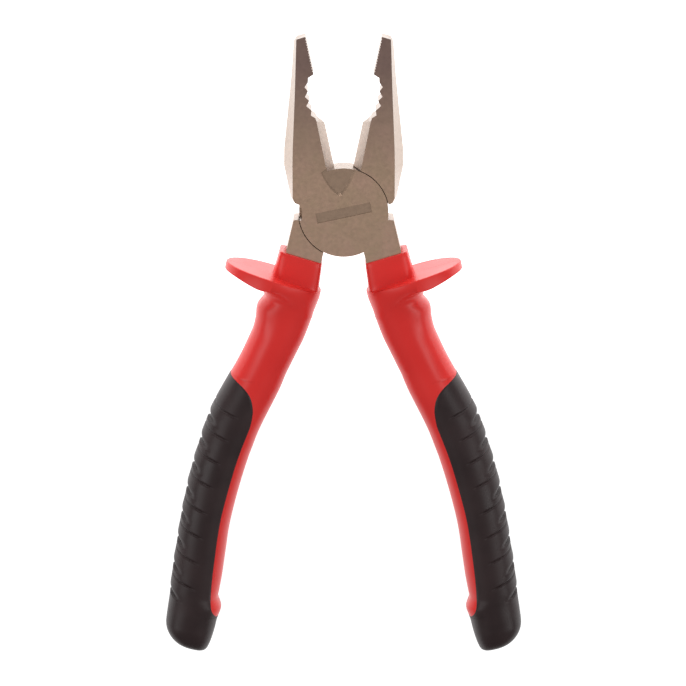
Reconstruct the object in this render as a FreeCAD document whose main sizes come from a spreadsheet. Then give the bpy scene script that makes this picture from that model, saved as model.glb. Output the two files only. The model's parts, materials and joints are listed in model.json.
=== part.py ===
import FreeCAD
import math
import os
import Part
import Sketcher

# Lineman (combination) pliers with two-material insulated handles.
#
# Both steel halves are drawn in the closed position, lying flat, with the pivot axis on Z and the
# mid-plane of the joint at Z = 0. A half has its jaw on the -X side and its handle on the +X side.
# The second half is the same forging turned over about the long (Y) axis. Every piece is then lifted
# so that the back of the joint is at Z = 0 and swung open by half the opening angle.

Vector = FreeCAD.Vector
Rotation = FreeCAD.Rotation

doc = FreeCAD.newDocument("lineman_pliers")
sheet = doc.addObject("Spreadsheet::Sheet", "Dims")
FACE = "Dims.head_thickness / 2"     # height of the front face over the mid-plane
MID_PLANE = "0 mm"

# ---------------------------------------------------------------- driving sizes (mm and degrees)
SIZES = {
    "half_opening": 12.1,          # each half is swung this far from closed at rest
    "head_thickness": 12.0,
    "disc_radius": 13.7,
    "disc_clearance": 0.25,        # between a disc's rim and the other half
    "lap_gap": 0.05,               # between the two lapped faces
    "rivet_radius": 4.0,
    "rivet_running_clearance": 0.05,
    "rivet_head_radius": 6.2,
    "rivet_head_depth": 2.2,
    "plate_length": 17.0,          # plain recessed bar across the front of the joint
    "plate_width": 3.1,
    "plate_depth": 0.3,
    "relief_depth": 0.4,
    "tip_half_thickness": 4.4,
    "tip_taper_start": 16.0,
    "jaw_end": 60.0,
    "tooth_pitch": 0.82,
    "tooth_depth": 0.35,
    "tooth_first": 44.0,
    "tooth_count": 13.0,
    "tang_core_half_thickness": 4.5,
    "grip_wall": 2.4,
    "guard_centre": 16.75,
    "guard_reach": 15.25,
    "guard_half_depth": 13.5,
    "guard_top": -22.75,
    "guard_thickness": 4.8,
    "collar_corner": 4.0,
    "handle_corner": 6.8,
    "rib_groove_width": 2.0,
    "rib_groove_depth": 0.9,
    "frame_size": 60.0,
}

# Jaw outline, from the shoulder up the outer side to the tip and back down the inner side.
# Each row is (distance from the closing line, height) at the mid-plane, then the same at the face.
JAW = [
    (11.5, 4.1, 11.5, 4.4),
    (14.6, 5.6, 13.9, 6.0),
    (15.1, 7.5, 14.3, 7.6),
    (15.0, 17.3, 12.3, 17.0),
    (13.8, 22.6, 10.9, 22.6),
    (9.25, 36.6, 7.15, 36.6),
    (7.0, 43.6, 5.4, 43.6),
    (3.9, 54.2, 2.6, 55.1),
    (0.04, 55.1, 0.04, 55.1),
    (0.04, 43.4, 0.04, 43.4),
    (1.9, 42.7, 1.9, 42.7),
    (2.2, 41.4, 2.2, 41.4),
    (3.5, 40.2, 3.5, 40.2),
    (2.8, 38.7, 2.8, 38.7),
    (4.05, 37.3, 4.05, 37.3),
    (3.0, 35.8, 3.0, 35.8),
    (4.2, 34.5, 4.2, 34.5),
    (2.95, 32.8, 2.95, 32.8),
    (3.45, 31.4, 3.45, 31.4),
    (2.1, 30.1, 2.3, 30.3),
    (1.6, 28.2, 2.3, 29.7),
    (0.04, 27.7, 2.35, 29.4),
    (0.04, 13.0, 2.35, 13.0),
    (0.04, 9.0, 2.35, 9.0),
]

# Shallow dish in the top of the disc, below the cutters: its outline at the face, then at its floor.
# A third value makes the stretch that leads to that point an arc of that radius.
RELIEF_RIM = [
    (-0.6, 5.4, 31.0),
    (0.4, 5.4),
    (4.2, 13.5, 15.0),
    (2.2, 14.6),
    (-8.5, 14.6),
    (-6.0, 11.1),
]
RELIEF_FLOOR = [
    (-0.4, 6.1, 30.0),
    (0.2, 6.1),
    (3.7, 13.6, 15.5),
    (2.1, 14.6),
    (-7.7, 14.6),
    (-5.5, 11.5),
]

# Visible root of the tang, from the notch beside the disc down into the collar.
TANG_ROOT = [
    (8.0, -4.4),
    (13.3, -5.1),
    (14.5, -5.5),
    (14.7, -15.2),
    (14.2, -18.6),
    (4.6, -18.6),
    (3.5, -16.6),
    (3.4, -12.6),
]

# Part of the tang that is hidden in the handle.
TANG_CORE = [
    (13.6, -17.5),
    (14.6, -30.0),
    (16.5, -46.0),
    (20.2, -60.0),
    (24.0, -80.0),
    (25.0, -100.0),
    (24.0, -120.0),
    (22.0, -127.0),
    (19.0, -127.0),
    (17.2, -120.0),
    (17.6, -100.0),
    (16.2, -80.0),
    (12.4, -60.0),
    (8.4, -46.0),
    (6.5, -30.0),
    (4.8, -17.5),
]

# Notch in the disc's rim beside the jaw shoulder: (distance from the closing line, height).
NOTCH = [(16.0, 4.3), (12.3, 4.3), (12.3, 3.4), (13.0, 0.4), (16.0, 0.4)]

# Handle cross-sections: height, outer edge, inner edge, half depth.
HANDLE = [
    (-25.6, 17.8, 1.6, 10.6),
    (-30.0, 18.4, 1.6, 9.6),
    (-34.5, 20.0, 2.4, 9.3),
    (-39.0, 19.6, 3.1, 9.2),
    (-46.0, 20.5, 4.5, 9.0),
    (-54.0, 22.6, 6.4, 9.0),
    (-62.0, 25.4, 8.3, 9.2),
    (-72.0, 27.6, 10.8, 9.4),
    (-84.0, 28.9, 12.7, 9.5),
    (-98.0, 29.4, 13.8, 9.5),
    (-112.0, 29.0, 13.6, 9.4),
    (-126.0, 28.3, 12.2, 9.2),
    (-138.0, 27.3, 11.2, 8.9),
    (-147.3, 26.4, 12.0, 8.4),
]
CORE_ROWS = range(5, 13)     # the cross-sections that the core below the soft grip spans

# Collar cross-sections: height at the closing line, tilt of the section, outer, inner, half depth.
COLLAR = [
    (-17.1, 4.7, 16.6, 3.0, 6.8),
    (-27.5, 7.6, 17.4, 2.2, 7.0),
]

# Soft grip seen from the front: the line where it meets the hard sleeve, from the top of the grip
# down the inner side to the end.
GRIP_EDGE = [
    (24.6, -56.0),
    (21.1, -58.4),
    (14.1, -71.0, 12.0),
    (17.1, -101.0, -140.0),
    (15.4, -126.0, -200.0),
    (12.0, -134.6, -10.5),
    (8.0, -135.6),
]
# Grooves between the ribs of the soft grip: height, where across the handle each fades out, the
# grip's outer edge there and its half depth.
RIB_GROOVES = [
    (-73.6, 18.5, 27.8, 9.6),
    (-81.5, 19.5, 28.6, 9.7),
    (-89.6, 20.0, 29.1, 9.7),
    (-97.8, 20.5, 29.4, 9.7),
    (-106.0, 20.5, 29.2, 9.6),
    (-114.2, 20.0, 28.9, 9.5),
    (-122.8, 19.5, 28.5, 9.4),
    (-131.0, 18.5, 28.0, 9.3),
]

# Rounded end of the handle: what is cut away outside it.
END_ROUND = [
    (5.0, -134.0),
    (11.9, -141.5),
    (16.0, -147.0, 5.0),
    (19.5, -147.2),
    (27.2, -140.2, 7.4),
    (34.0, -134.0),
    (34.0, -160.0),
    (5.0, -160.0),
]


OUTLINES = {
    "jaw_middle": [row[:2] for row in JAW],
    "jaw_face": [row[2:] for row in JAW],
    "relief_rim": RELIEF_RIM,
    "relief_floor": RELIEF_FLOOR,
    "tang_root": TANG_ROOT,
    "tang_core": TANG_CORE,
    "notch": NOTCH,
    "end_round": END_ROUND,
    "grip_zone": GRIP_EDGE + [(8.0, -160.0), (45.0, -160.0), (45.0, -56.0)],
    "sleeve_zone": [(0.0, -20.0), (45.0, -20.0), (45.0, -56.0)] + GRIP_EDGE + [(0.0, -135.6)],
}
TABLES = {**OUTLINES, "handle": HANDLE, "collar": COLLAR, "rib": RIB_GROOVES}


# ---------------------------------------------------------------- the sheet
def write_sheet():
    """Put every driving size, and every number of every table, in the sheet under its own name."""
    cells = dict(SIZES)
    for table, rows in TABLES.items():
        for row, values in enumerate(rows):
            for column, value in enumerate(values):
                cells[f"{table}_{row}_{'abcdefgh'[column]}"] = value
    for line, (name, value) in enumerate(cells.items(), start=1):
        sheet.set(f"A{line}", name)
        sheet.set(f"B{line}", f"{value:.6g}")
        sheet.setAlias(f"B{line}", name)
    doc.recompute()


def cell(table, row, column):
    """A number of a table with the expression that reads it from the sheet."""
    return TABLES[table][row][column], f"Dims.{table}_{row}_{'abcdefgh'[column]}"


def size(name, factor=1.0):
    """A driving size, or a multiple of it, with its expression."""
    return SIZES[name] * factor, f"Dims.{name} * {factor:g}"


def add(first, second, sign=1.0):
    """Sum or difference of two sizes, with its expression."""
    operator = "+" if sign > 0 else "-"
    return first[0] + sign * second[0], f"({first[1]}) {operator} ({second[1]})"


def table_outline(table, mirror=False):
    """Corners of an outline; a row's third number is the radius of the arc that leads to it."""
    sign = -1.0 if mirror else 1.0
    corners = []
    for row, values in enumerate(TABLES[table]):
        across, along = cell(table, row, 0), cell(table, row, 1)
        corner = [(sign * across[0], f"{sign:g} * {across[1]}"), along]
        if len(values) > 2:
            radius = cell(table, row, 2)
            corner.append((sign * radius[0], f"abs({radius[1]})"))
        corners.append(corner)
    return corners


# ---------------------------------------------------------------- helpers
def make_body(label):
    body = doc.addObject("PartDesign::Body", label)
    body.Label = label
    return body


def sketch_on(body, name, role, offset, tilt=0.0):
    """New sketch on one of the body's origin planes, moved along the plane's normal by offset."""
    sketch = body.newObject("Sketcher::SketchObject", name)
    plane = next(item for item in body.Origin.OriginFeatures if item.Role == role)
    sketch.AttachmentSupport = [(plane, "")]
    sketch.MapMode = "FlatFace"
    sketch.AttachmentOffset = FreeCAD.Placement(Vector(0, 0, 0), Rotation(Vector(0, 1, 0), tilt))
    sketch.setExpression("AttachmentOffset.Base.z", offset)
    return sketch


def bind(sketch, kind, *where_and_size):
    """Add one driving constraint and tie it to the sheet; its size is the last argument."""
    value, expression = where_and_size[-1]
    index = sketch.addConstraint(Sketcher.Constraint(kind, *where_and_size[:-1], value))
    sketch.setExpression(f"Constraints[{index}]", expression)


def arc_through(start, end, radius):
    """Short circular arc between two points; a positive radius bulges to the right of travel."""
    chord = end - start
    half = chord.Length / 2.0
    side = Vector(-chord.y, chord.x, 0).normalize()
    height = math.sqrt(radius * radius - half * half)
    centre = (start + end) * 0.5 + side * math.copysign(height, radius)
    circle = Part.Circle(centre, Vector(0, 0, 1), abs(radius))
    first, last = (start, end) if radius > 0 else (end, start)
    return Part.ArcOfCircle(circle, circle.parameter(first), circle.parameter(last))


def outline(body, name, role, offset, corners):
    """Closed outline of lines and arcs with every corner and radius tied to the sheet."""
    sketch = sketch_on(body, name, role, offset)
    places = [Vector(corner[0][0], corner[1][0], 0) for corner in corners]
    count = len(corners)
    ends = []
    for index in range(count):
        following = (index + 1) % count
        radius = corners[following][2][0] if len(corners[following]) > 2 else None
        if radius is None:
            sketch.addGeometry(Part.LineSegment(places[index], places[following]))
            ends.append((1, 2))
        else:
            sketch.addGeometry(arc_through(places[index], places[following], radius))
            ends.append((1, 2) if radius > 0 else (2, 1))
    for index in range(count):
        following = (index + 1) % count
        sketch.addConstraint(Sketcher.Constraint(
            "Coincident", index, ends[index][1], following, ends[following][0]))
    for index, corner in enumerate(corners):
        across, along = corner[0], corner[1]
        end = ends[index][0]
        bind(sketch, "DistanceX", -1, 1, index, end, across)
        bind(sketch, "DistanceY", -1, 1, index, end, along)
        if len(corner) > 2:
            radius = corner[2]
            bind(sketch, "Radius", (index - 1) % count, (abs(radius[0]), radius[1]))
    return sketch


def circle_on(body, name, role, offset, radius):
    """Circle centred on the sketch origin."""
    sketch = sketch_on(body, name, role, offset)
    sketch.addGeometry(Part.Circle(Vector(0, 0, 0), Vector(0, 0, 1), radius[0]))
    sketch.addConstraint(Sketcher.Constraint("Coincident", 0, 3, -1, 1))
    bind(sketch, "Radius", 0, radius)
    return sketch


def rounded_section(body, name, height, outer, inner, half_depth, corner, tilt=0.0):
    """Rounded rectangle across the handle; each size is a value with its expression."""
    sketch = sketch_on(body, name, "XZ_Plane", f"-({height[1]})", tilt)
    right, left, top, radius = outer[0], inner[0], half_depth[0], corner[0]
    corners = [
        (right - radius, -top + radius, -90),
        (right - radius, top - radius, 0),
        (left + radius, top - radius, 90),
        (left + radius, -top + radius, 180),
    ]
    lines = [
        ((right, -top + radius), (right, top - radius)),
        ((right - radius, top), (left + radius, top)),
        ((left, top - radius), (left, -top + radius)),
        ((left + radius, -top), (right - radius, -top)),
    ]
    for centre, line in zip(corners, lines):
        circle = Part.Circle(Vector(centre[0], centre[1], 0), Vector(0, 0, 1), radius)
        start = math.radians(centre[2])
        sketch.addGeometry(Part.ArcOfCircle(circle, start, start + math.pi / 2))
        sketch.addGeometry(Part.LineSegment(Vector(*line[0], 0), Vector(*line[1], 0)))
    for index in range(8):
        sketch.addConstraint(Sketcher.Constraint("Tangent", index, 2, (index + 1) % 8, 1))
    for index in (1, 5):
        sketch.addConstraint(Sketcher.Constraint("Vertical", index))
    for index in (3, 7):
        sketch.addConstraint(Sketcher.Constraint("Horizontal", index))
    for index in (2, 4, 6):
        sketch.addConstraint(Sketcher.Constraint("Equal", 0, index))
    bind(sketch, "Radius", 0, corner)
    bind(sketch, "DistanceX", -1, 1, 1, 1, outer)
    bind(sketch, "DistanceX", -1, 1, 5, 1, inner)
    bind(sketch, "DistanceY", -1, 1, 3, 1, half_depth)
    bind(sketch, "DistanceY", -1, 1, 7, 1, (-top, f"-({half_depth[1]})"))
    return sketch


def loft(body, name, sketches, cut=False, ruled=False):
    kind = "PartDesign::SubtractiveLoft" if cut else "PartDesign::AdditiveLoft"
    feature = body.newObject(kind, name)
    feature.Profile = sketches[0]
    feature.Sections = sketches[1:]
    feature.Ruled = ruled
    doc.recompute()
    return feature


def pad(body, name, sketch, length, reversed_way=False):
    feature = body.newObject("PartDesign::Pad", name)
    feature.Profile = sketch
    feature.Reversed = reversed_way
    feature.setExpression("Length", length)
    doc.recompute()
    return feature


def pocket(body, name, sketch, length, reversed_way=False, midplane=False):
    feature = body.newObject("PartDesign::Pocket", name)
    feature.Profile = sketch
    feature.Reversed = reversed_way
    feature.Midplane = midplane
    feature.setExpression("Length", length)
    doc.recompute()
    return feature


def place(body, turned_over):
    """Lift the piece so the joint's back is at Z = 0 and swing it open."""
    angle = SIZES["half_opening"]
    rise = Vector(0, 0, SIZES["head_thickness"] / 2.0)
    if turned_over:
        turn = Rotation(Vector(0, 0, 1), -angle) * Rotation(Vector(0, 1, 0), 180)
    else:
        turn = Rotation(Vector(0, 0, 1), angle)
    body.Placement = FreeCAD.Placement(rise, turn)
    body.setExpression("Placement.Base.z", "Dims.head_thickness / 2")


# ---------------------------------------------------------------- steel halves
def build_half(label, turned_over):
    """One forged half: jaw, lapped disc and tang. The turned-over one runs on the rivet."""
    body = make_body(label)
    disc = circle_on(body, "disc_circle", "XY_Plane", "Dims.lap_gap / 2", size("disc_radius"))
    pad(body, "disc", disc, f"{FACE} - Dims.lap_gap / 2")
    root = outline(body, "tang_root_outline", "XY_Plane", f"-({FACE})", table_outline("tang_root"))
    pad(body, "tang_root", root, "Dims.head_thickness")
    core = outline(body, "tang_core_outline", "XY_Plane", "-Dims.tang_core_half_thickness",
                   table_outline("tang_core"))
    pad(body, "tang_core", core, "2 * Dims.tang_core_half_thickness")

    for side, sign in (("front", ""), ("back", "-")):
        middle = outline(body, f"jaw_{side}_middle", "XY_Plane", MID_PLANE,
                         table_outline("jaw_middle", mirror=True))
        face = outline(body, f"jaw_{side}_face", "XY_Plane", f"{sign}({FACE})",
                       table_outline("jaw_face", mirror=True))
        loft(body, f"jaw_{side}", [middle, face], ruled=True)
    rim = outline(body, "relief_rim", "XY_Plane", FACE, table_outline("relief_rim", mirror=True))
    floor = outline(body, "relief_floor", "XY_Plane", f"{FACE} - Dims.relief_depth",
                    table_outline("relief_floor", mirror=True))
    loft(body, "relief", [rim, floor], cut=True, ruled=True)
    taper_jaw(body)

    clearance = circle_on(body, "rim_clearance_circle", "XY_Plane", "Dims.lap_gap / 2",
                          add(size("disc_radius"), size("disc_clearance")))
    pocket(body, "rim_clearance", clearance, "Dims.head_thickness")
    notch = outline(body, "notch_outline", "XY_Plane", FACE, table_outline("notch", mirror=True))
    pocket(body, "notch", notch, "Dims.head_thickness")
    cut_teeth(body)

    slack = size("rivet_running_clearance", 1.0 if turned_over else 0.0)
    bore = circle_on(body, "bore_circle", "XY_Plane", FACE, add(size("rivet_radius"), slack))
    pocket(body, "bore", bore, "Dims.head_thickness")
    if turned_over:
        cut_rivet_seat(body)
    else:
        cut_plate(body)
    place(body, turned_over)
    return body


def taper_jaw(body):
    """Thin the jaw towards its tip on both faces."""
    start, end = size("tip_taper_start"), size("jaw_end")
    for side, sign in (("front", 1.0), ("back", -1.0)):
        surface = size("head_thickness", 0.5 * sign)
        beyond = size("head_thickness", sign)
        wedge = outline(body, f"taper_{side}_outline", "YZ_Plane", MID_PLANE, [
            (start, surface),
            (end, size("tip_half_thickness", sign)),
            (end, beyond),
        ])
        pocket(body, f"taper_{side}", wedge, "Dims.jaw_end", midplane=True)


def cut_teeth(body):
    """Fine cross teeth of the flat gripping zone: one notch repeated up the jaw."""
    first = size("tooth_first")
    beyond = size("tooth_depth", 0.5)
    notch = outline(body, "tooth_outline", "XY_Plane", FACE, [
        (beyond, first),
        (beyond, add(first, size("tooth_pitch", 0.94))),
        (size("tooth_depth", -1.0), add(first, size("tooth_pitch", 0.47))),
    ])
    cut = pocket(body, "tooth", notch, "Dims.head_thickness")
    pattern = body.newObject("PartDesign::LinearPattern", "teeth")
    pattern.Originals = [cut]
    axis = next(item for item in body.Origin.OriginFeatures if item.Role == "Y_Axis")
    pattern.Direction = (axis, [""])
    pattern.setExpression("Length", "Dims.tooth_pitch * (Dims.tooth_count - 1)")
    pattern.setExpression("Occurrences", "Dims.tooth_count")
    body.Tip = pattern
    doc.recompute()


def cut_rivet_seat(body):
    """Conical seat for the rivet head in the outer face of the disc."""
    slack = size("rivet_running_clearance")
    rim = circle_on(body, "seat_rim", "XY_Plane", FACE, add(size("rivet_head_radius"), slack))
    floor = circle_on(body, "seat_floor", "XY_Plane", f"{FACE} - Dims.rivet_head_depth",
                      add(size("rivet_radius"), slack))
    loft(body, "rivet_seat", [rim, floor], cut=True, ruled=True)


def cut_plate(body):
    """Plain shallow bar pressed across the joint after riveting."""
    left, right = size("plate_length", -0.5), size("plate_length", 0.5)
    low, high = size("plate_width", -0.5), size("plate_width", 0.5)
    bar = outline(body, "plate_outline", "XY_Plane", FACE,
                  [(left, low), (right, low), (right, high), (left, high)])
    pocket(body, "plate", bar, "Dims.plate_depth")


# ---------------------------------------------------------------- rivet
def build_rivet():
    """Round rivet: pressed into the front half, countersunk head flush with the back."""
    body = make_body("pivot_rivet")
    axis, shank, head = size("jaw_end", 0.0), size("rivet_radius"), size("rivet_head_radius")
    back, front = size("head_thickness", -0.5), size("head_thickness", 0.5)
    neck = add(back, size("rivet_head_depth"))
    profile = outline(body, "rivet_profile", "XZ_Plane", MID_PLANE, [
        (axis, back),
        (head, back),
        (shank, neck),
        (shank, front),
        (axis, front),
    ])
    turned = body.newObject("PartDesign::Revolution", "rivet")
    turned.Profile = profile
    turned.ReferenceAxis = (profile, ["V_Axis"])
    turned.Angle = 360.0
    doc.recompute()
    cut_plate(body)
    place(body, False)
    return body


# ---------------------------------------------------------------- handles
def handle_sections(body, name, rows, wall):
    """Sketches of the handle's cross-sections, shrunk by a wall all round."""
    corner = add(size("handle_corner"), wall, -1.0)
    sketches = []
    for row in rows:
        height, outer, inner, depth = [cell("handle", row, column) for column in range(4)]
        sketches.append(rounded_section(
            body, f"{name}_{row}", height, add(outer, wall, -1.0), add(inner, wall),
            add(depth, wall, -1.0), corner))
    return sketches


def handle_blank(body):
    """Smooth handle shape that the sleeve and the grip share, with its end rounded off."""
    everything = range(len(HANDLE))
    loft(body, "handle", handle_sections(body, "section", everything, size("grip_wall", 0.0)))
    end = outline(body, "end_outline", "XY_Plane", MID_PLANE, table_outline("end_round"))
    pocket(body, "end", end, "Dims.jaw_end", midplane=True)


def build_sleeve(label):
    """Hard sleeve: collar, finger guard, handle and the core inside the soft grip."""
    body = make_body(label)
    handle_blank(body)
    zone = outline(body, "grip_zone_outline", "XY_Plane", MID_PLANE, table_outline("grip_zone"))
    pocket(body, "grip_zone", zone, "Dims.jaw_end", midplane=True)
    loft(body, "core", handle_sections(body, "core_section", CORE_ROWS, size("grip_wall")))

    sections = []
    for row in range(len(COLLAR)):
        height, outer, inner, depth = [cell("collar", row, column) for column in (0, 2, 3, 4)]
        sections.append(rounded_section(body, f"collar_section_{row}", height, outer, inner, depth,
                                        size("collar_corner"), COLLAR[row][1]))
    loft(body, "collar", sections)
    add_guard(body)

    cavity = outline(body, "tang_cavity_outline", "XY_Plane", "-Dims.tang_core_half_thickness",
                     table_outline("tang_core"))
    pocket(body, "tang_cavity", cavity, "2 * Dims.tang_core_half_thickness", reversed_way=True)
    mouth = outline(body, "tang_mouth_outline", "XY_Plane", f"-({FACE})",
                    table_outline("tang_root"))
    pocket(body, "tang_mouth", mouth, "Dims.head_thickness", reversed_way=True)
    place(body, False)
    return body


def ellipse_on(sketch, centre, reach, depth):
    """Ellipse with its centre on the sketch's X axis; each size is a value with its expression."""
    middle = Vector(centre[0], 0, 0)
    long_is_across = reach[0] >= depth[0]
    far, side = Vector(centre[0] + reach[0], 0, 0), Vector(centre[0], depth[0], 0)
    if long_is_across:
        sketch.addGeometry(Part.Ellipse(far, side, middle))
    else:
        sketch.addGeometry(Part.Ellipse(side, Vector(centre[0] - reach[0], 0, 0), middle))
    sketch.exposeInternalGeometry(0)
    across, deep = (1, 2) if long_is_across else (2, 1)
    sketch.addConstraint(Sketcher.Constraint("PointOnObject", 0, 3, -1))
    sketch.addConstraint(Sketcher.Constraint("Horizontal", across))
    bind(sketch, "DistanceX", -1, 1, 0, 3, centre)
    bind(sketch, "Distance", across, (reach[0] * 2.0, f"2 * ({reach[1]})"))
    bind(sketch, "Distance", deep, (depth[0] * 2.0, f"2 * ({depth[1]})"))


def add_guard(body):
    """Oval finger guard that stands out all round the handle below the collar."""
    sketch = sketch_on(body, "guard_outline", "XZ_Plane", "-(Dims.guard_top)")
    ellipse_on(sketch, size("guard_centre"), size("guard_reach"), size("guard_half_depth"))
    pad(body, "guard", sketch, "Dims.guard_thickness")


def build_grip(label):
    """Soft ribbed grip moulded over the core, with a closed end."""
    body = make_body(label)
    handle_blank(body)
    zone = outline(body, "sleeve_zone_outline", "XY_Plane", MID_PLANE,
                   table_outline("sleeve_zone"))
    pocket(body, "sleeve_zone", zone, "Dims.jaw_end", midplane=True)
    loft(body, "core_hollow", handle_sections(body, "core_section", CORE_ROWS, size("grip_wall")),
         cut=True)
    for row in range(len(RIB_GROOVES)):
        cut_rib_groove(body, row)
    place(body, False)
    return body


def cut_rib_groove(body, row):
    """Groove round the outer side of the grip that fades out at its centre line."""
    level, centre, outer, depth = [cell("rib", row, column) for column in range(4)]
    sketch = sketch_on(body, f"rib_outline_{row}", "XZ_Plane", f"-({level[1]})")
    reach = add(add(outer, size("rib_groove_depth"), -1.0), centre, -1.0)
    ellipse_on(sketch, centre, reach, depth)
    add_frame(sketch)
    pocket(body, f"rib_{row}", sketch, "Dims.rib_groove_width")


def add_frame(sketch):
    """Square round the whole handle, so that a pocket cuts what lies between it and an ellipse."""
    half, side = size("frame_size"), size("frame_size", 2.0)
    reach = half[0]
    corners = [Vector(-reach, -reach, 0), Vector(reach, -reach, 0), Vector(reach, reach, 0),
               Vector(-reach, reach, 0)]
    first = sketch.GeometryCount
    for index in range(4):
        sketch.addGeometry(Part.LineSegment(corners[index], corners[(index + 1) % 4]))
    for index in range(4):
        line, following = first + index, first + (index + 1) % 4
        sketch.addConstraint(Sketcher.Constraint("Coincident", line, 2, following, 1))
        kind = "Horizontal" if index % 2 == 0 else "Vertical"
        sketch.addConstraint(Sketcher.Constraint(kind, line))
    bind(sketch, "DistanceX", first, 1, -1, 1, half)
    bind(sketch, "DistanceY", first, 1, -1, 1, half)
    bind(sketch, "Distance", first, side)
    bind(sketch, "Distance", first + 1, side)


def turned_over_copy(label, original):
    """The same moulding turned over about the long axis for the other handle."""
    body = make_body(label)
    copy = body.newObject("PartDesign::FeatureBase", f"{label}_copy")
    copy.BaseFeature = original
    body.Tip = copy
    doc.recompute()
    place(body, True)
    return body


write_sheet()
right_sleeve = build_sleeve("right_sleeve")
right_grip = build_grip("right_grip")
bodies = [
    build_half("front_half", False),
    build_half("rear_half", True),
    build_rivet(),
    right_sleeve,
    turned_over_copy("left_sleeve", right_sleeve),
    right_grip,
    turned_over_copy("left_grip", right_grip),
]
doc.recompute()

# ---------------------------------------------------------------- checks and output
for item in doc.Objects:
    if "Invalid" in item.State or "Error" in item.State:
        raise RuntimeError(f"{item.Name} did not compute: {item.State}")
os.makedirs("parts", exist_ok=True)
for body in bodies:
    if body.Shape.isNull() or not body.Shape.isValid():
        raise RuntimeError(f"{body.Label} is not a valid shape")
    if len(body.Shape.Solids) != 1:
        raise RuntimeError(f"{body.Label} has {len(body.Shape.Solids)} solids")
    body.Shape.exportStep(f"parts/{body.Label}.step")
    print(body.Label, round(body.Shape.Volume, 1), body.Shape.BoundBox)
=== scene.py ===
import json
import math

import bmesh
import bpy
from mathutils import Matrix, Vector


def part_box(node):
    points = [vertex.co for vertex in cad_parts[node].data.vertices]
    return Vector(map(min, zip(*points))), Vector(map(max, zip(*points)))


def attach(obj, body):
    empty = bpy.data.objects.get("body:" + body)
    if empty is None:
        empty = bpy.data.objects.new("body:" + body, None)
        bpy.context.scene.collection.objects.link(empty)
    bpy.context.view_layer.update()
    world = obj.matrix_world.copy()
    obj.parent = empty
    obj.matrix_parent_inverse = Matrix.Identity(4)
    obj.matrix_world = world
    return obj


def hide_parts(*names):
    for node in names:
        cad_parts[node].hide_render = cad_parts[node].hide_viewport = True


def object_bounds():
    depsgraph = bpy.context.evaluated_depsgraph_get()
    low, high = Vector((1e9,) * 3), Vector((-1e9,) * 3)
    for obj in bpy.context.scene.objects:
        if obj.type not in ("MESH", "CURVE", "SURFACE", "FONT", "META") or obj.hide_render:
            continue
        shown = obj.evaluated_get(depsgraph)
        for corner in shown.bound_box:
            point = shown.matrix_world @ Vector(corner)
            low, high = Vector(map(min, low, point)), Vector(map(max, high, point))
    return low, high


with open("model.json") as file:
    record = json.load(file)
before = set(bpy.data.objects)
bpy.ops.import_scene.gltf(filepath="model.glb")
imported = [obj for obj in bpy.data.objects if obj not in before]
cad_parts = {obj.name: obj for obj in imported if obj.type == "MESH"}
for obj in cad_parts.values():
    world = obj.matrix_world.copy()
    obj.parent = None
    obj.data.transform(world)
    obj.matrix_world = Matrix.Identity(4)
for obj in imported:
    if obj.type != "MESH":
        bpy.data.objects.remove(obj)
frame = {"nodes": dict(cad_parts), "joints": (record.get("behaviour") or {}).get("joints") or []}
cad_low, cad_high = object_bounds()

# Lengths in the tables are in millimetres, in the closed position of one handle: x is the distance
# from the closing line, y the height along it (negative towards the handle's end) and z the height
# over the mid-plane of the joint.
MM = 0.001
HALF_OPENING = math.radians(12.1)
MID_PLANE = frame["joints"][0]["pos_m"][2]

# ---------------------------------------------------------------- handle shape
# height, outer edge, inner edge, half depth, squareness of the section
HANDLE = [
    (-31.5, 18.4, 1.75, 10.0, 2.6),
    (-34.5, 19.9, 2.4, 9.6, 2.5),
    (-38.5, 19.6, 3.0, 9.35, 2.4),
    (-42.0, 19.7, 3.6, 9.2, 2.4),
    (-46.0, 20.5, 4.6, 9.1, 2.4),
    (-50.0, 21.4, 5.6, 9.0, 2.4),
    (-54.0, 22.5, 6.6, 9.0, 2.4),
    (-58.4, 23.9, 7.4, 9.1, 2.4),
    (-62.5, 25.2, 8.4, 9.2, 2.4),
    (-66.6, 26.4, 9.5, 9.3, 2.4),
    (-70.5, 27.2, 10.5, 9.4, 2.4),
    (-74.6, 27.9, 11.4, 9.4, 2.4),
    (-78.6, 28.3, 12.0, 9.45, 2.4),
    (-82.6, 28.7, 12.6, 9.5, 2.4),
    (-90.5, 29.3, 13.35, 9.5, 2.4),
    (-98.4, 29.4, 13.8, 9.5, 2.4),
    (-106.0, 29.3, 13.9, 9.45, 2.4),
    (-114.0, 28.9, 13.4, 9.4, 2.4),
    (-122.0, 28.5, 12.9, 9.3, 2.4),
    (-126.5, 28.1, 12.8, 9.2, 2.4),
    (-129.0, 27.9, 12.7, 9.1, 2.45),
    (-130.6, 27.7, 11.8, 9.1, 2.45),
    (-132.0, 27.6, 11.1, 9.05, 2.5),
    (-133.6, 27.5, 11.2, 9.0, 2.5),
    (-135.5, 27.4, 11.65, 8.95, 2.5),
    (-139.0, 27.15, 11.8, 8.85, 2.6),
    (-140.5, 26.9, 11.9, 8.8, 2.7),
    (-142.0, 26.3, 12.05, 8.6, 2.8),
    (-143.4, 25.3, 12.25, 8.3, 2.8),
    (-144.6, 24.0, 12.5, 7.8, 2.8),
    (-145.5, 22.4, 12.8, 7.1, 2.8),
    (-146.1, 20.4, 13.3, 6.0, 2.7),
    (-146.5, 18.0, 14.2, 4.0, 2.6),
]

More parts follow.
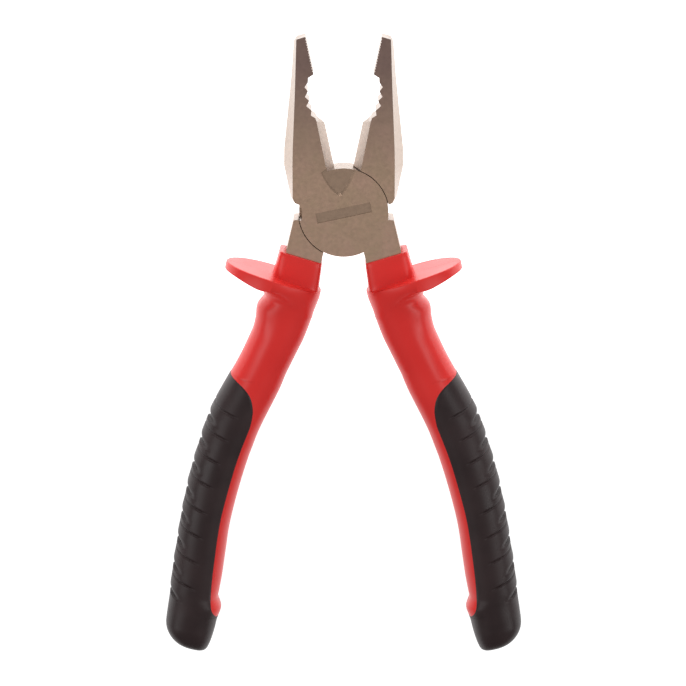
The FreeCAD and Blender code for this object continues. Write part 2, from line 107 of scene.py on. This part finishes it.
# Line on the front where the soft grip meets the hard sleeve: height, distance from closing line.
GRIP_EDGE = [
    (-57.3, 23.6),
    (-58.4, 21.1),
    (-59.5, 19.0),
    (-60.9, 17.2),
    (-62.6, 15.8),
    (-64.9, 14.8),
    (-67.1, 14.3),
    (-71.2, 14.2),
    (-74.6, 14.7),
    (-79.5, 15.5),
    (-84.4, 16.1),
    (-89.4, 16.5),
    (-95.9, 16.9),
    (-102.0, 17.1),
    (-108.0, 16.9),
    (-115.0, 16.4),
    (-122.0, 15.8),
    (-127.5, 15.1),
    (-130.5, 14.5),
    (-132.6, 13.6),
    (-134.2, 12.2),
    (-135.0, 11.0),
]

# Ribs of the soft grip: height of the thin groove that starts each, and of the notch that ends it.
RIBS = [
    (-66.5, -72.0),
    (-74.2, -79.9),
    (-81.9, -88.0),
    (-89.9, -96.2),
    (-98.4, -104.4),
    (-106.5, -112.6),
    (-114.8, -121.1),
    (-123.2, -129.4),
]
RIB_LINE = 0.4           # depth of the thin groove that starts a rib
RIB_NOTCH = 1.05         # depth of the notch that ends it
RIB_BULGE = 0.15         # height of the swelling between the two
RIB_SWEEP = 3.4          # how far a rib drops from the outer edge to the front
RIB_LINE_FADE = (80.0, 93.0)     # degrees round from the outer edge where the groove fades out
RIB_NOTCH_FADE = (24.0, 68.0)    # and where the notch does

GRIP_WALL = 1.6          # thickness of the soft grip over the hidden core
GRIP_PROUD = 0.12        # how far it stands over the hard sleeve
ROW_STEP = 0.23          # distance between two rings of the grip
ROW_STEP_TIP = 0.11      # how much less it is at the grip's upper tip
ROW_STEP_FOOT = 0.09     # and at the foot of the red strip
GRIP_END_RINGS = 36

# Collar round the steel, from inside its mouth to its outer edge: centre, half width, half depth,
# squareness, drop below the collar's top.
COLLAR_LIP = [
    (9.1, 5.36, 6.03, 16.0, 2.6),
    (9.1, 5.36, 6.03, 16.0, 0.15),
    (9.3, 5.6, 6.15, 14.0, 0.0),
    (9.85, 6.4, 6.5, 9.0, 0.0),
    (9.85, 6.68, 6.76, 8.0, 0.1),
    (9.85, 6.78, 6.86, 7.5, 0.4),
]
COLLAR_RINGS = (0.2, 0.4, 0.6, 0.8, 0.95)

# Sections of the collar's side and of the guard: centre, half width, half depth, squareness.
COLLAR_UPPER = (9.85, 6.78, 6.88, 7.5)
COLLAR_LOWER = (9.75, 7.38, 7.08, 6.0)
COLLAR_FOOT = (9.75, 7.5, 7.2, 5.5)
GUARD_TOP = (16.75, 14.75, 13.0, 2.05)
GUARD_RIM = (16.75, 15.25, 13.5, 2.05)
GUARD_TOP_RINGS = (0.0, 0.15, 0.3, 0.45, 0.6, 0.75, 0.9, 1.0)

# Rounded top edge of the guard: growth of the flat top, drop below its height.
GUARD_EDGE = [(0.3, 0.06), (0.44, 0.2), (0.5, 0.5)]
GUARD_THIN = (8.0, 22.0) # distances from the closing line where its thin outer part begins and is full
GUARD_FOOT = -34.5       # height where the guard's front has run out into the handle
GUARD_FOOT_RISE = 3.0    # how much higher it ends at the outer side
UNDERSIDE_RINGS = 14
FOOT_RINGS = 5

RED_COLUMNS = 120        # steps round the seen side of a ring of the sleeve
GRIP_COLUMNS = 84        # the same for the grip
HIDDEN_COLUMNS = 14      # steps along the core that the two share

MERGE_DISTANCE = 0.004   # points closer than this are merged
SLIVER_DISTANCE = 0.002  # edges shorter than this are removed
RED_CREASE = 55.0        # faces that meet at more than this many degrees keep a crisp edge
BLACK_CREASE = 50.0


def smooth(rows, at):
    """Value of every column of a table at a height, along a smooth curve through its rows."""
    heights = [row[0] for row in rows]
    if at >= heights[0]:
        return list(rows[0][1:])
    if at <= heights[-1]:
        return list(rows[-1][1:])
    index = next(i for i in range(len(rows) - 1) if heights[i + 1] <= at)
    before, after = max(index - 1, 0), min(index + 2, len(rows) - 1)
    span = heights[index + 1] - heights[index]
    share = (at - heights[index]) / span
    values = []
    for column in range(1, len(rows[0])):
        left, right = rows[index][column], rows[index + 1][column]
        slope_left = (right - rows[before][column]) / (heights[index + 1] - heights[before])
        slope_right = (rows[after][column] - left) / (heights[after] - heights[index])
        square, cube = share * share, share ** 3
        values.append((2 * cube - 3 * square + 1) * left + (cube - 2 * square + share) * span * slope_left
                      + (3 * square - 2 * cube) * right + (cube - square) * span * slope_right)
    return values


def ease(low, high, value):
    """Smooth step from 0 at low to 1 at high."""
    share = min(max((value - low) / (high - low), 0.0), 1.0)
    return share * share * (3.0 - 2.0 * share)


def blend(first, second, share):
    """Values part of the way from one row to another."""
    return [start + (stop - start) * share for start, stop in zip(first, second)]


def around(start, stop, count):
    """Evenly spaced directions from start to stop, both included."""
    return [start + (stop - start) * index / count for index in range(count + 1)]


def reach(angle, half_width, half_depth, squareness):
    """Distance from the centre of a rounded section to its edge in one direction."""
    across = abs(math.cos(angle) / half_width) ** squareness
    deep = abs(math.sin(angle) / half_depth) ** squareness
    return (across + deep) ** (-1.0 / squareness)


def section(height):
    """Centre, half width, half depth and squareness of the handle at a height."""
    outer, inner, depth, square = smooth(HANDLE, height)
    return (outer + inner) / 2, (outer - inner) / 2, depth, square


def handle_point(height, angle, offset=0.0):
    """Point of the handle's surface in one direction, moved out by an offset."""
    centre, half, depth, square = section(height)
    distance = reach(angle, half, depth, square) + offset
    return Vector((centre + distance * math.cos(angle), height, distance * math.sin(angle)))


def ring(shape, height_at, angles):
    """Ring of points with a section's shape; each point's height depends on its x."""
    centre, half, depth, square = shape
    points = []
    for angle in angles:
        distance = reach(angle, half, depth, square)
        x = centre + distance * math.cos(angle)
        points.append(Vector((x, height_at(x), distance * math.sin(angle))))
    return points


def edge_angle(height):
    """Direction, seen from the section's centre, in which the soft grip ends; 0 above the grip."""
    if height > GRIP_EDGE[0][0]:
        return 0.0
    if height < GRIP_EDGE[-1][0]:
        return math.pi
    centre, half, depth, square = section(height)
    edge = smooth(GRIP_EDGE, height)[0]
    low, high = 0.0, math.pi
    for _ in range(40):
        middle = (low + high) / 2
        if centre + reach(middle, half, depth, square) * math.cos(middle) > edge:
            low = middle
        else:
            high = middle
    return low


def skin(name, rows):
    """Closed mesh through a list of rings with the same number of points."""
    made = bmesh.new()
    rings = [[made.verts.new(point) for point in row] for row in rows]
    count = len(rows[0])
    for upper, lower in zip(rings, rings[1:]):
        for column in range(count):
            following = (column + 1) % count
            made.faces.new((upper[column], upper[following], lower[following], lower[column]))
    made.faces.new(rings[0][::-1])
    made.faces.new(rings[-1])
    bmesh.ops.remove_doubles(made, verts=made.verts, dist=MERGE_DISTANCE)
    bmesh.ops.dissolve_degenerate(made, edges=made.edges, dist=SLIVER_DISTANCE)
    bmesh.ops.recalc_face_normals(made, faces=made.faces)
    mesh = bpy.data.meshes.new(name)
    made.to_mesh(mesh)
    made.free()
    return mesh


def smooth_shading(mesh, limit_degrees):
    """Smooth faces, with a crease where two faces meet at more than the limit."""
    made = bmesh.new()
    made.from_mesh(mesh)
    for face in made.faces:
        face.smooth = True
    limit = math.radians(limit_degrees)
    for edge in made.edges:
        edge.smooth = not (len(edge.link_faces) == 2 and edge.calc_face_angle(0.0) > limit)
    made.to_mesh(mesh)
    made.free()


def handle_pair(mesh, names, bodies, nodes, material):
    """One object per handle: the right one swung open, the left one turned over first."""
    lift = Matrix.Translation((0, 0, MID_PLANE)) @ Matrix.Scale(MM, 4)
    turns = [
        Matrix.Rotation(HALF_OPENING, 4, "Z"),
        Matrix.Rotation(-HALF_OPENING, 4, "Z") @ Matrix.Rotation(math.pi, 4, "Y"),
    ]
    for name, body, node, turn in zip(names, bodies, nodes, turns):
        own = mesh.copy()
        own.transform(lift @ turn)
        own.materials.clear()
        own.materials.append(material)
        piece = bpy.data.objects.new(name, own)
        bpy.context.scene.collection.objects.link(piece)
        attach(piece, body)
        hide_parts(node)


# ---------------------------------------------------------------- hard sleeve
def ledge(x):
    """Height of the guard's top face and of the ledge below the collar."""
    return -26.15 + 0.16 * x - 0.00185 * x * x


def collar_top(x):
    """Height of the collar's top, which slopes up towards the outside."""
    return -17.14 + 0.0827 * x


def guard_thickness(x):
    """The guard is thickest at the handle and thins out towards its tip."""
    return 5.0 - 2.4 * ease(17.0, 34.0, x)


def guard_rim(angle):
    """Point of the guard's rim, and how far it belongs to the thin outer part of the guard."""
    centre, half, depth, square = GUARD_RIM
    distance = reach(angle, half, depth, square)
    x = centre + distance * math.cos(angle)
    return x, distance * math.sin(angle), ease(*GUARD_THIN, x)


def guard_foot(angle, share):
    """Point of the handle at the guard's foot; share 1 levels the foot out to one height."""
    thin = guard_rim(angle)[2]
    return handle_point(GUARD_FOOT + GUARD_FOOT_RISE * thin * (1.0 - share), angle)


def guard_underside(share, angle):
    """From the rim down to the handle: a hollow at the outer part, a soft slope at the front."""
    x, z, thin = guard_rim(angle)
    turn = share * math.pi / 2
    inward = thin * math.sin(turn) + (1.0 - thin) * ease(0.0, 1.0, share)
    down = thin * (1.0 - math.cos(turn)) + (1.0 - thin) * share
    start = Vector((x, ledge(x) - guard_thickness(x) * (0.3 + 0.55 * thin), z))
    foot = guard_foot(angle, 0.0)
    return Vector((
        start.x + (foot.x - start.x) * inward,
        start.y + (foot.y - start.y) * down,
        start.z + (foot.z - start.z) * inward,
    ))


def sleeve_rows():
    """Rings from inside the collar's mouth, over the guard, to the end of the core."""
    full = around(0.0, 2.0 * math.pi, RED_COLUMNS) + [0.0] * (HIDDEN_COLUMNS - 1)
    rows = []
    for *shape, drop in COLLAR_LIP:
        rows.append(ring(shape, lambda x, drop=drop: collar_top(x) - drop, full))
    for share in COLLAR_RINGS:
        rows.append(ring(blend(COLLAR_UPPER, COLLAR_LOWER, share),
                         lambda x, share=share: collar_top(x) * (1 - share) + ledge(x) * share, full))
    for share in GUARD_TOP_RINGS:
        rows.append(ring(blend(COLLAR_FOOT, GUARD_TOP, share), ledge, full))
    centre, half, depth, square = GUARD_TOP
    for grow, drop in GUARD_EDGE:
        rows.append(ring((centre, half + grow, depth + grow, square),
                         lambda x, drop=drop: ledge(x) - drop, full))
    for step in range(UNDERSIDE_RINGS + 1):
        rows.append([guard_underside(step / UNDERSIDE_RINGS, angle) for angle in full])
    for step in range(1, FOOT_RINGS + 1):
        rows.append([guard_foot(angle, step / FOOT_RINGS) for angle in full])
    height = GUARD_FOOT - 1.0
    while height > GRIP_EDGE[0][0] + 0.3:
        rows.append([handle_point(height, angle) for angle in full])
        height -= 1.0
    rows.extend(sleeve_ring(height) for height in zone_heights())
    return rows


def zone_heights():
    """Heights of the rows through the grip: close together at its tip and at its foot."""
    heights = []
    height = GRIP_EDGE[0][0]
    while height > GRIP_EDGE[-1][0]:
        heights.append(height)
        near_tip = ease(-66.0, GRIP_EDGE[0][0], height)
        near_foot = ease(-129.0, GRIP_EDGE[-1][0], height)
        height -= ROW_STEP - ROW_STEP_TIP * near_tip - ROW_STEP_FOOT * near_foot
    heights.append(GRIP_EDGE[-1][0])
    return heights


def core_point(height, angle, limit):
    """Point of the hidden core, which comes to the surface at the grip's edges."""
    room = 1.0 - abs(angle) / max(limit, 1e-6)
    return handle_point(height, angle, -GRIP_WALL * ease(0.0, 0.22, room) * ease(0.0, 0.5, limit))


def sleeve_ring(height):
    """Ring of the hard sleeve beside the grip: the open side, then back along the hidden core."""
    limit = edge_angle(height)
    points = [handle_point(height, angle) for angle in around(limit, 2.0 * math.pi - limit, RED_COLUMNS)]
    for angle in around(-limit, limit, HIDDEN_COLUMNS)[1:-1]:
        points.append(core_point(height, angle, limit))
    return points


# ---------------------------------------------------------------- soft grip
def rib_offset(height, angle):
    """Height of the ribs over the smooth grip; they wrap the outer side and fade inwards."""
    turn = math.degrees(abs(angle))
    level = height + RIB_SWEEP * min(turn / 100.0, 1.0) ** 1.4
    line_share = 1.0 - ease(*RIB_LINE_FADE, turn)
    notch_share = 1.0 - ease(*RIB_NOTCH_FADE, turn)
    offset = 0.0
    for start, notch in RIBS:
        groove = ease(start - 0.45, start, level) * ease(start + 0.45, start, level)
        swell = ease(start - 0.4, notch + 2.4, level) * ease(notch + 0.4, notch + 2.4, level)
        drop = ease(notch + 2.2, notch, level) * ease(notch - 0.3, notch, level)
        offset += RIB_BULGE * swell * notch_share - RIB_LINE * groove * line_share
        offset -= RIB_NOTCH * drop * notch_share
    return offset


def grip_ring(height):
    """Ring of the soft grip: its outside from edge to edge, then back along the core."""
    limit = edge_angle(height)
    points = []
    for angle in around(-limit, limit, GRIP_COLUMNS):
        room = 1.0 - abs(angle) / max(limit, 1e-6)
        edge = ease(0.0, 0.035, room) * ease(0.0, 0.3, limit)
        points.append(handle_point(height, angle, (GRIP_PROUD + rib_offset(height, angle)) * edge))
    for angle in around(limit, -limit, HIDDEN_COLUMNS)[1:-1]:
        points.append(core_point(height, angle, limit))
    return points


def grip_rows():
    """Rings of the soft grip through its zone, then closer and closer together to its round end."""
    rows = [grip_ring(height) for height in zone_heights()]
    full = around(-math.pi, math.pi, GRIP_COLUMNS) + [math.pi] * (HIDDEN_COLUMNS - 1)
    foot, end = GRIP_EDGE[-1][0], HANDLE[-1][0]
    for step in range(1, GRIP_END_RINGS + 1):
        height = foot + (end - foot) * math.sin(step / GRIP_END_RINGS * math.pi / 2)
        centre, half, depth, square = section(height)
        rows.append(ring((centre, half + GRIP_PROUD, depth + GRIP_PROUD, square),
                         lambda x, height=height: height, full))
    return rows


# ---------------------------------------------------------------- materials
# Colours of the materials, as two tones that a noise mixes, or a single one.
STEEL_GROUND = ((0.56, 0.392, 0.272), (0.61, 0.402, 0.300))
# painted shade that darkens the jaws towards their tips
TIPS_PAINTED_SHADE = (0.295, 0.198, 0.170)
# painted shade in the relief and the band of the joint
RECESS_PAINTED_SHADE = (0.46, 0.319, 0.230)
# painted reflection: a paler, greyer colour on faces that slope away from the front
SLOPES_PAINTED_REFLECTION = (0.38, 0.31, 0.265)
RED_TONES = ((0.76, 0.030, 0.026), (0.80, 0.034, 0.029))
RED_PARTING_LINE = (0.36, 0.012, 0.012)
BLACK_TONES = ((0.020, 0.0095, 0.0100), (0.030, 0.0145, 0.0150))

# Where the steel's painted shade changes, in metres: along the jaws, and in height over the mid-plane.
TIPS_FROM, TIPS_TO = 0.009, 0.045
RECESS_FROM, RECESS_TO = 0.00588, 0.00597
JOINT_FROM, JOINT_TO = 0.0135, 0.0140
PARTING_FROM, PARTING_TO = 0.00008, 0.00022


def new_material(name):
    """A material with its nodes, and with its object coordinates as the place to work from."""
    material = bpy.data.materials.new(name)
    material.use_nodes = True
    tree = material.node_tree
    place = new_node(tree, "ShaderNodeTexCoord").outputs["Object"]
    return material, tree, tree.nodes["Principled BSDF"], place


def new_node(tree, kind, **settings):
    """Node with some of its inputs or properties set."""
    made = tree.nodes.new(kind)
    for key, value in settings.items():
        if key in made.inputs:
            made.inputs[key].default_value = value
        else:
            setattr(made, key, value)
    return made


def noise(tree, place, scale, detail, roughness=0.5):
    made = new_node(tree, "ShaderNodeTexNoise", Scale=scale, Detail=detail, Roughness=roughness)
    tree.links.new(place, made.inputs["Vector"])
    return made.outputs["Fac"]


def two_tones(tree, source, low, high, tones):
    """The first tone where the source is low, the second where it is high."""
    made = new_node(tree, "ShaderNodeValToRGB")
    for element, position, tone in zip(made.color_ramp.elements, (low, high), tones):
        element.position = position
        element.color = (*tone, 1)
    tree.links.new(source, made.inputs["Fac"])
    return made.outputs["Color"]


def spread(tree, source, low, high, from_low, from_high):
    """Map a value from one range to another."""
    made = new_node(tree, "ShaderNodeMapRange")
    made.inputs["From Min"].default_value = from_low
    made.inputs["From Max"].default_value = from_high
    made.inputs["To Min"].default_value = low
    made.inputs["To Max"].default_value = high
    tree.links.new(source, made.inputs["Value"])
    return made.outputs["Result"]


def axis_of(tree, vector, axis):
    """One axis of a vector: X, Y or Z."""
    made = new_node(tree, "ShaderNodeSeparateXYZ")
    tree.links.new(vector, made.inputs["Vector"])
    return made.outputs[axis]


def calculate(tree, operation, first, second=None):
    """Arithmetic on an output; the second value is an output or a plain number."""
    made = new_node(tree, "ShaderNodeMath", operation=operation)
    tree.links.new(first, made.inputs[0])
    if isinstance(second, float):
        made.inputs[1].default_value = second
    elif second is not None:
        tree.links.new(second, made.inputs[1])
    return made.outputs["Value"]


def off_middle(tree, place):
    """Distance of a point from the mid-plane of the joint."""
    return calculate(tree, "ABSOLUTE", calculate(tree, "SUBTRACT", axis_of(tree, place, "Z"), MID_PLANE))


def blend_colours(tree, factor, first, second):
    """Mix an output with a plain colour."""
    made = new_node(tree, "ShaderNodeMix", data_type="RGBA")
    tree.links.new(factor, made.inputs[0])
    tree.links.new(first, made.inputs[6])
    made.inputs[7].default_value = (*second, 1)
    return made.outputs[2]


def bump(tree, source, strength, distance, before=None):
    made = new_node(tree, "ShaderNodeBump", Strength=strength, Distance=distance)
    tree.links.new(source, made.inputs["Height"])
    if before is not None:
        tree.links.new(before, made.inputs["Normal"])
    return made.outputs["Normal"]


def steel_material():
    """Satin plated forging: warm grey ground faces, with painted shade that darkens the jaws towards
    their tips and lies in the relief and the band of the joint, and a paler painted reflection on slanted
    faces.
    """
    material, tree, shader, place = new_material("satin_steel")
    cloud = noise(tree, place, 130.0, 5.0, 0.6)
    speckle = noise(tree, place, 900.0, 4.0, 0.6)
    grain = noise(tree, place, 3000.0, 2.0)
    along = axis_of(tree, place, "Y")

    colour = two_tones(tree, cloud, 0.35, 0.65, STEEL_GROUND)
    # painted shade: the colour darkens along the jaws towards their tips
    tips = spread(tree, along, 0.0, 1.0, TIPS_FROM, TIPS_TO)
    colour = blend_colours(tree, tips, colour, TIPS_PAINTED_SHADE)

    # the relief and the band of the joint lie a little under its ground face, and get a darker colour
    # there as painted shade
    below_face = spread(tree, off_middle(tree, place), 1.0, 0.0, RECESS_FROM, RECESS_TO)
    near_joint = spread(tree, along, 1.0, 0.0, JOINT_FROM, JOINT_TO)
    recess_shade = calculate(tree, "MULTIPLY", below_face, near_joint)
    colour = blend_colours(tree, recess_shade, colour, RECESS_PAINTED_SHADE)

    # painted reflection: faces that turn away from the front get a paler, greyer colour, as if mirroring
    # the bright surroundings
    normal = new_node(tree, "ShaderNodeNewGeometry").outputs["Normal"]
    upright = calculate(tree, "ABSOLUTE", axis_of(tree, normal, "Z"))
    slope_reflection = spread(tree, upright, 1.0, 0.0, 0.70, 0.80)
    colour = blend_colours(tree, slope_reflection, colour, SLOPES_PAINTED_REFLECTION)
    tree.links.new(colour, shader.inputs["Base Color"])

    tree.links.new(spread(tree, speckle, 0.34, 0.44, 0.3, 0.7), shader.inputs["Roughness"])
    pits = bump(tree, speckle, 0.10, 0.00006)
    tree.links.new(bump(tree, grain, 0.12, 0.00003, pits), shader.inputs["Normal"])
    shader.inputs["Metallic"].default_value = 1.0
    return material


def sleeve_material():
    """Glossy red moulded plastic with a faint parting line along its mid-plane."""
    material, tree, shader, place = new_material("red_sleeve")
    cloud = noise(tree, place, 70.0, 3.0)
    peel = noise(tree, place, 900.0, 2.0)
    line = spread(tree, off_middle(tree, place), 1.0, 0.0, PARTING_FROM, PARTING_TO)
    colour = two_tones(tree, cloud, 0.3, 0.7, RED_TONES)
    tree.links.new(blend_colours(tree, line, colour, RED_PARTING_LINE), shader.inputs["Base Color"])
    tree.links.new(spread(tree, cloud, 0.30, 0.36, 0.3, 0.7), shader.inputs["Roughness"])
    seam = bump(tree, line, 0.4, 0.00008)
    tree.links.new(bump(tree, peel, 0.03, 0.00005, seam), shader.inputs["Normal"])
    shader.inputs["IOR"].default_value = 1.36
    return material


def grip_material():
    """Soft black rubber: fine pebbled skin, slightly dusty."""
    material, tree, shader, place = new_material("black_grip")
    dust = noise(tree, place, 110.0, 4.0)
    pebble = noise(tree, place, 3200.0, 2.0)
    tree.links.new(two_tones(tree, dust, 0.3, 0.75, BLACK_TONES), shader.inputs["Base Color"])
    tree.links.new(spread(tree, dust, 0.38, 0.50, 0.3, 0.7), shader.inputs["Roughness"])
    tree.links.new(bump(tree, pebble, 0.25, 0.00006), shader.inputs["Normal"])
    shader.inputs["IOR"].default_value = 1.4
    return material


def floor_material():
    """White light table: mostly its own glow, stronger under the head than under the handles."""
    material, tree, shader, place = new_material("floor")
    glow = spread(tree, axis_of(tree, place, "Y"), 0.95, 1.8, -0.07, -0.01)
    tree.links.new(glow, shader.inputs["Emission Strength"])
    shader.inputs["Base Color"].default_value = (0.4, 0.4, 0.4, 1)
    shader.inputs["Roughness"].default_value = 0.9
    shader.inputs["Emission Color"].default_value = (1.0, 1.0, 1.0, 1)
    return material


# ---------------------------------------------------------------- build
WORN_EDGE = 0.00016      # width of the rounding that wear gives the steel's edges, in metres
WORN_ANGLE = math.radians(28)

steel = steel_material()
for name in ("front_half", "rear_half", "pivot_rivet"):
    part = frame["nodes"][name]
    part.data.materials.clear()
    part.data.materials.append(steel)
    edges = part.modifiers.new("worn_edges", "BEVEL")
    edges.width = WORN_EDGE
    edges.segments = 2
    edges.limit_method = "ANGLE"
    edges.angle_limit = WORN_ANGLE
    edges.use_clamp_overlap = True

bodies = ["front_lever", "rear_lever"]
sleeve = skin("sleeve", sleeve_rows())
smooth_shading(sleeve, RED_CREASE)
handle_pair(sleeve, ["sleeve_right", "sleeve_left"], bodies, ["right_sleeve", "left_sleeve"],
            sleeve_material())
grip = skin("grip", grip_rows())
smooth_shading(grip, BLACK_CREASE)
handle_pair(grip, ["grip_right", "grip_left"], bodies, ["right_grip", "left_grip"],
            grip_material())

# ---------------------------------------------------------------- floor, light and camera
FLOOR_REACH = 3.0        # the floor ends this far from the pivot, in metres
SKY_STRENGTH = 0.30

# Soft lights: name, place, point that it faces, width, height, power in watts.
LIGHTS = [
    ("left", (-0.95, -0.15, 1.05), (0, -0.05, 0), 0.22, 1.2, 5.0),
    ("right", (0.95, -0.15, 1.05), (0, -0.05, 0), 0.22, 1.2, 5.0),
    ("head", (0.0, 1.3, 0.6), (0, 0, 0), 1.4, 0.4, 6.0),
]

corners = [(-1, -1), (1, -1), (1, 1), (-1, 1)]
floor_mesh = bpy.data.meshes.new("floor")
floor_mesh.from_pydata([(x * FLOOR_REACH, y * FLOOR_REACH, 0) for x, y in corners], [], [(0, 1, 2, 3)])
floor_mesh.materials.append(floor_material())
floor = bpy.data.objects.new("floor", floor_mesh)
floor.location.z = cad_low.z
bpy.context.scene.collection.objects.link(floor)

world = bpy.data.worlds.new("world")
world.use_nodes = True
sky = world.node_tree.nodes["Background"]
sky.inputs["Color"].default_value = (1, 1, 1, 1)
sky.inputs["Strength"].default_value = SKY_STRENGTH
bpy.context.scene.world = world

for name, location, target, width, height, power in LIGHTS:
    data = bpy.data.lights.new(name, "AREA")
    data.shape = "RECTANGLE"
    data.size, data.size_y, data.energy = width, height, power
    lamp = bpy.data.objects.new(name, data)
    lamp.location = location
    lamp.rotation_euler = (Vector(target) - Vector(location)).to_track_quat("-Z", "Y").to_euler()
    bpy.context.scene.collection.objects.link(lamp)
bpy.context.scene.view_settings.view_transform = "Standard"

CAMERA_DISTANCE = 1.1
CAMERA_TILT = math.radians(12.5)
VIEW_WIDTH = 0.20957            # seen width at the distance of the joint's front face
JOINT_ABOVE_MIDDLE = 0.03975    # the pivot is this far above the middle of the picture
JOINT_BESIDE_MIDDLE = 0.0002    # and this far to the right of it

camera_data = bpy.data.cameras.new("camera")
camera_data.sensor_width = 36.0
camera_data.lens = CAMERA_DISTANCE / VIEW_WIDTH * camera_data.sensor_width
camera = bpy.data.objects.new("camera", camera_data)
backward = Vector((0.0, math.sin(CAMERA_TILT), math.cos(CAMERA_TILT)))
upward = Vector((0.0, math.cos(CAMERA_TILT), -math.sin(CAMERA_TILT)))
pivot_front = Vector((0.0, 0.0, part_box("front_half")[1].z))
aim = pivot_front - upward * JOINT_ABOVE_MIDDLE - Vector((JOINT_BESIDE_MIDDLE, 0.0, 0.0))
camera.location = aim + backward * CAMERA_DISTANCE
camera.rotation_euler = Matrix((
    (1.0, 0.0, 0.0),
    (0.0, upward.y, backward.y),
    (0.0, upward.z, backward.z),
)).to_euler()
bpy.context.scene.collection.objects.link(camera)
bpy.context.scene.camera = camera
